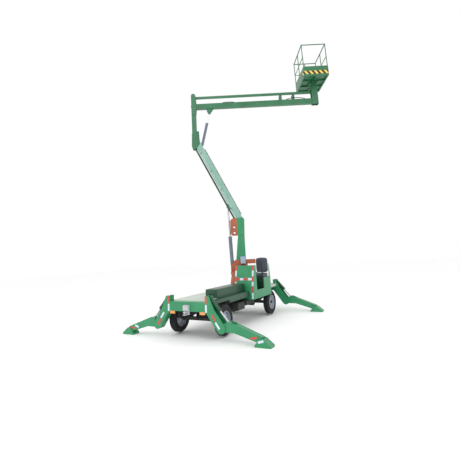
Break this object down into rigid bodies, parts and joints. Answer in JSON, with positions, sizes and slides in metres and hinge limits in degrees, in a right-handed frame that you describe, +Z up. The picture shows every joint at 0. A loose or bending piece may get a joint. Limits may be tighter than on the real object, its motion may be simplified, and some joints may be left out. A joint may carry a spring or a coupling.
{
  "type": "towable articulated boom lift",
  "caption": "Green towable articulated boom lift on folding outriggers, with a levelled basket, driver's stand and steered wheels",
  "frame": {"origin": "middle of the towing pin bore, halfway between the two ears", "axes": "+X towards the towing vehicle, +Y to the left, +Z up"},
  "size_m": [5.1359, 5.2571, 8.717],
  "materials": {
    "green_paint": "gloss paint",
    "boom_green": "gloss paint, faded",
    "dark_green": "gloss paint in shade",
    "deep_green": "gloss paint",
    "orange_paint": "gloss paint, worn",
    "frame_black": "satin black paint",
    "light_grey_paint": "satin light grey paint",
    "tyre_rubber": "matt tyre rubber",
    "rim_silver": "silver paint",
    "cylinder_paint": "satin blue grey paint",
    "chrome_rod": "polished rod",
    "seat_vinyl": "grey vinyl, matt",
    "lamp_amber": "amber lens",
    "box_grey": "pale blue grey moulding",
    "deck_pale": "worn pale deck paint"
  },
  "bodies": {
    "chassis": {"underframe": "frame_black", "cross_bearers": "frame_black", "front_outrigger_beam": "green_paint", "rear_outrigger_beam": "green_paint", "deck": "deck_pale", "left_fender": "dark_green", "front_axle": "frame_black", "rear_axle": "frame_black", "hitch": "light_grey_paint", "marker_lamps": "lamp_amber", "side_tanks": "frame_black", "hood": "dark_green", "power_block": "frame_black", "cowl": "green_paint", "cab_side_panel": "green_paint", "cab_tub": "dark_green", "seat": "seat_vinyl", "driver_controls": "frame_black", "pedestal": "orange_paint"},
    "turntable": {"turret": "orange_paint", "mast": "green_paint", "mast_head": "orange_paint", "control_box": "box_grey"},
    "lower_boom": {"lower_boom": "boom_green", "lower_boom_fork": "boom_green"},
    "lower_link": {"lower_link": "dark_green"},
    "lower_barrel": {"lower_barrel": "cylinder_paint"},
    "lower_ram": {"lower_ram": "chrome_rod"},
    "riser": {"riser": "deep_green"},
    "upper_boom": {"upper_boom": "deep_green"},
    "upper_link": {"upper_link": "deep_green"},
    "upper_barrel": {"upper_barrel": "cylinder_paint"},
    "upper_ram": {"upper_ram": "chrome_rod"},
    "basket": {"basket_post": "deep_green", "basket_floor": "deep_green", "basket_cage": "deep_green"},
    "steer_left": {"knuckle_left": "frame_black"},
    "steer_right": {"knuckle_right": "frame_black"},
    "wheel_front_left": {"tyre_front_left": "tyre_rubber", "rim_front_left": "rim_silver"},
    "wheel_front_right": {"tyre_front_right": "tyre_rubber", "rim_front_right": "rim_silver"},
    "wheel_rear_left": {"tyre_rear_left": "tyre_rubber", "rim_rear_left": "rim_silver"},
    "wheel_rear_right": {"tyre_rear_right": "tyre_rubber", "rim_rear_right": "rim_silver"},
    "leg_front_left": {"outrigger_leg_front_left": "green_paint"},
    "leg_barrel_front_left": {"outrigger_barrel_front_left": "dark_green"},
    "leg_ram_front_left": {"outrigger_ram_front_left": "chrome_rod"},
    "leg_front_right": {"outrigger_leg_front_right": "green_paint"},
    "leg_barrel_front_right": {"outrigger_barrel_front_right": "dark_green"},
    "leg_ram_front_right": {"outrigger_ram_front_right": "chrome_rod"},
    "leg_rear_left": {"outrigger_leg_rear_left": "green_paint"},
    "leg_barrel_rear_left": {"outrigger_barrel_rear_left": "dark_green"},
    "leg_ram_rear_left": {"outrigger_ram_rear_left": "chrome_rod"},
    "leg_rear_right": {"outrigger_leg_rear_right": "green_paint"},
    "leg_barrel_rear_right": {"outrigger_barrel_rear_right": "dark_green"},
    "leg_ram_rear_right": {"outrigger_ram_rear_right": "chrome_rod"}
  },
  "joints": [
    {"name": "slew", "type": "hinge", "parent": "chassis", "child": "turntable", "pos_m": [-2.905, 0, 0.7175], "axis": [0, 0, 1], "range_deg": [-295, 55]},
    {"name": "lower_boom_lift", "type": "hinge", "parent": "turntable", "child": "lower_boom", "pos_m": [-2.9705, 0.11345, 2.3075], "axis": [0.866, 0.5, 0], "range_deg": [-6, 50]},
    {"name": "lower_link_turn", "type": "hinge", "parent": "turntable", "child": "lower_link", "pos_m": [-2.9305, 0.04417, 2.1375], "axis": [0.866, 0.5, 0], "range_deg": [-6.12, 51]},
    {"name": "riser_level", "type": "hinge", "parent": "lower_boom", "child": "riser", "pos_m": [-2.3109, -1.029, 5.04858], "axis": [0.866, 0.5, 0], "range_deg": [-51, 6.12]},
    {"name": "lower_barrel_turn", "type": "hinge", "parent": "turntable", "child": "lower_barrel", "pos_m": [-2.794, -0.19226, 0.8875], "axis": [0.866, 0.5, 0], "range_deg": [-1.15, 9.59]},
    {"name": "lower_ram_slide", "type": "slide", "parent": "lower_barrel", "child": "lower_ram", "axis": [0.0118, -0.0205, 0.9997], "range_m": [-0.46043, 0.05525]},
    {"name": "upper_boom_lift", "type": "hinge", "parent": "riser", "child": "upper_boom", "pos_m": [-2.2789, -1.08443, 6.31358], "axis": [0.866, 0.5, 0], "range_deg": [-12, 65]},
    {"name": "upper_link_turn", "type": "hinge", "parent": "riser", "child": "upper_link", "pos_m": [-2.2789, -1.08443, 6.64858], "axis": [0.866, 0.5, 0], "range_deg": [-12.24, 66.3]},
    {"name": "basket_level", "type": "hinge", "parent": "upper_boom", "child": "basket", "pos_m": [-4.37741, 2.55028, 6.31358], "axis": [0.866, 0.5, 0], "range_deg": [-66.3, 12.24]},
    {"name": "upper_barrel_turn", "type": "hinge", "parent": "riser", "child": "upper_barrel", "pos_m": [-2.3929, -0.88697, 4.86758], "axis": [0.866, 0.5, 0], "range_deg": [-1.4, 7.59]},
    {"name": "upper_ram_slide", "type": "slide", "parent": "upper_barrel", "child": "upper_ram", "axis": [-0.1206, 0.2089, 0.9705], "range_m": [-0.11113, 0.60195]},
    {"name": "steer_left_turn", "type": "hinge", "parent": "chassis", "child": "steer_left", "pos_m": [-0.655, 0.52, -0.2225], "axis": [0, 0, 1], "range_deg": [-25, 25]},
    {"name": "steer_right_turn", "type": "hinge", "parent": "chassis", "child": "steer_right", "pos_m": [-0.655, -0.52, -0.2225], "axis": [0, 0, 1], "range_deg": [-25.5, 25.5]},
    {"name": "wheel_front_left_spin", "type": "hinge", "parent": "steer_left", "child": "wheel_front_left", "pos_m": [-0.655, 0.65, -0.2225], "axis": [0, 1, 0], "continuous": true},
    {"name": "wheel_front_right_spin", "type": "hinge", "parent": "steer_right", "child": "wheel_front_right", "pos_m": [-0.655, -0.65, -0.2225], "axis": [0, 1, 0], "continuous": true},
    {"name": "wheel_rear_left_spin", "type": "hinge", "parent": "chassis", "child": "wheel_rear_left", "pos_m": [-3.535, 0.65, -0.2225], "axis": [0, 1, 0], "continuous": true},
    {"name": "wheel_rear_right_spin", "type": "hinge", "parent": "chassis", "child": "wheel_rear_right", "pos_m": [-3.535, -0.65, -0.2225], "axis": [0, 1, 0], "continuous": true},
    {"name": "leg_front_left_fold", "type": "hinge", "parent": "chassis", "child": "leg_front_left", "pos_m": [-0.174, 0.905, -0.2925], "axis": [-1, 0, 0], "range_deg": [-88, 5]},
    {"name": "leg_barrel_front_left_turn", "type": "hinge", "parent": "chassis", "child": "leg_barrel_front_left", "pos_m": [-0.174, 0.62, 0.3375], "axis": [-1, 0, 0], "range_deg": [-1.05, 18.48]},
    {"name": "leg_ram_front_left_slide", "type": "slide", "parent": "leg_barrel_front_left", "child": "leg_ram_front_left", "axis": [0, 0.6635, -0.7482], "range_m": [-0.23156, 0.01316]},
    {"name": "leg_front_right_fold", "type": "hinge", "parent": "chassis", "child": "leg_front_right", "pos_m": [-0.174, -0.905, -0.2925], "axis": [1, 0, 0], "range_deg": [-88, 5]},
    {"name": "leg_barrel_front_right_turn", "type": "hinge", "parent": "chassis", "child": "leg_barrel_front_right", "pos_m": [-0.174, -0.62, 0.3375], "axis": [1, 0, 0], "range_deg": [-1.05, 18.48]},
    {"name": "leg_ram_front_right_slide", "type": "slide", "parent": "leg_barrel_front_right", "child": "leg_ram_front_right", "axis": [0, -0.6635, -0.7482], "range_m": [-0.23156, 0.01316]},
    {"name": "leg_rear_left_fold", "type": "hinge", "parent": "chassis", "child": "leg_rear_left", "pos_m": [-4.35, 0.905, -0.2925], "axis": [-1, 0, 0], "range_deg": [-88, 5]},
    {"name": "leg_barrel_rear_left_turn", "type": "hinge", "parent": "chassis", "child": "leg_barrel_rear_left", "pos_m": [-4.35, 0.62, 0.3375], "axis": [-1, 0, 0], "range_deg": [-1.05, 18.48]},
    {"name": "leg_ram_rear_left_slide", "type": "slide", "parent": "leg_barrel_rear_left", "child": "leg_ram_rear_left", "axis": [0, 0.6635, -0.7482], "range_m": [-0.23156, 0.01316]},
    {"name": "leg_rear_right_fold", "type": "hinge", "parent": "chassis", "child": "leg_rear_right", "pos_m": [-4.35, -0.905, -0.2925], "axis": [1, 0, 0], "range_deg": [-88, 5]},
    {"name": "leg_barrel_rear_right_turn", "type": "hinge", "parent": "chassis", "child": "leg_barrel_rear_right", "pos_m": [-4.35, -0.62, 0.3375], "axis": [1, 0, 0], "range_deg": [-1.05, 18.48]},
    {"name": "leg_ram_rear_right_slide", "type": "slide", "parent": "leg_barrel_rear_right", "child": "leg_ram_rear_right", "axis": [0, -0.6635, -0.7482], "range_m": [-0.23156, 0.01316]}
  ],
  "couplings": [
    {"joint": "lower_link_turn", "follows": "lower_boom_lift", "ratio": 1},
    {"joint": "riser_level", "follows": "lower_boom_lift", "ratio": -1},
    {"joint": "lower_barrel_turn", "follows": "lower_boom_lift", "ratio": 0.18805},
    {"joint": "lower_ram_slide", "follows": "lower_boom_lift", "m_per_rad": -0.51727},
    {"joint": "upper_link_turn", "follows": "upper_boom_lift", "ratio": 1},
    {"joint": "basket_level", "follows": "upper_boom_lift", "ratio": -1},
    {"joint": "upper_barrel_turn", "follows": "upper_boom_lift", "ratio": 0.11451},
    {"joint": "upper_ram_slide", "follows": "upper_boom_lift", "m_per_rad": 0.5202},
    {"joint": "steer_right_turn", "follows": "steer_left_turn", "ratio": 1},
    {"joint": "leg_barrel_front_left_turn", "follows": "leg_front_left_fold", "ratio": -0.20593},
    {"joint": "leg_ram_front_left_slide", "follows": "leg_front_left_fold", "m_per_rad": 0.14781},
    {"joint": "leg_barrel_front_right_turn", "follows": "leg_front_right_fold", "ratio": -0.20593},
    {"joint": "leg_ram_front_right_slide", "follows": "leg_front_right_fold", "m_per_rad": 0.14781},
    {"joint": "leg_barrel_rear_left_turn", "follows": "leg_rear_left_fold", "ratio": -0.20593},
    {"joint": "leg_ram_rear_left_slide", "follows": "leg_rear_left_fold", "m_per_rad": 0.14781},
    {"joint": "leg_barrel_rear_right_turn", "follows": "leg_rear_right_fold", "ratio": -0.20593},
    {"joint": "leg_ram_rear_right_slide", "follows": "leg_rear_right_fold", "m_per_rad": 0.14781}
  ]
}
